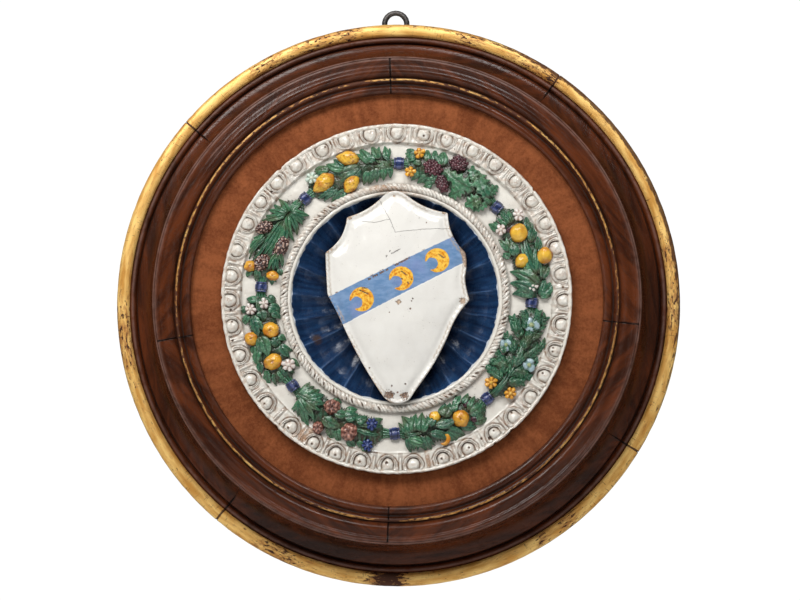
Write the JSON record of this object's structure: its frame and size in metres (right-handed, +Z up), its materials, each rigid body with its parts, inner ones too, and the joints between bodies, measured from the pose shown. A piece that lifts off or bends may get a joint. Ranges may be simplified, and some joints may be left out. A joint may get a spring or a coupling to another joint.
{
  "type": "framed wall plaque",
  "caption": "Round glazed terracotta coat of arms with a fruit garland and a shield, on velvet in a moulded wooden frame with an iron hanging loop.",
  "frame": {"origin": "centre of the flat back, on the wall plane, which is where the plaque rests on the wall", "axes": "+Z up, the carved front faces -Y, +Y into the wall, +X to the right as seen from the front"},
  "size_m": [0.8988, 0.124, 0.9256],
  "materials": {
    "frame_wood": "dark polished walnut with worn gilding on the outer bead and the inner fillet",
    "backboard_wood": "plain unpolished softwood",
    "velvet": "rust-brown velvet",
    "glazed_relief": "opaque white tin glaze with green, yellow, blue and brown glazes on the relief, worn",
    "white_glaze": "glossy opaque white glaze with a painted blue bend and yellow crescents, chipped",
    "iron": "dark forged iron, rubbed at the crown"
  },
  "bodies": {
    "root": {"outer_frame_top": "frame_wood", "outer_frame_left": "frame_wood", "outer_frame_bottom": "frame_wood", "outer_frame_right": "frame_wood", "inner_frame_upper_left": "frame_wood", "inner_frame_lower_left": "frame_wood", "inner_frame_lower_right": "frame_wood", "inner_frame_upper_right": "frame_wood", "backboard": "backboard_wood", "velvet_cover": "velvet", "tondo": "glazed_relief", "shield": "white_glaze", "hanging_loop": "iron", "loop_screw_left": "iron", "loop_screw_right": "iron"}
  },
  "joints": []
}
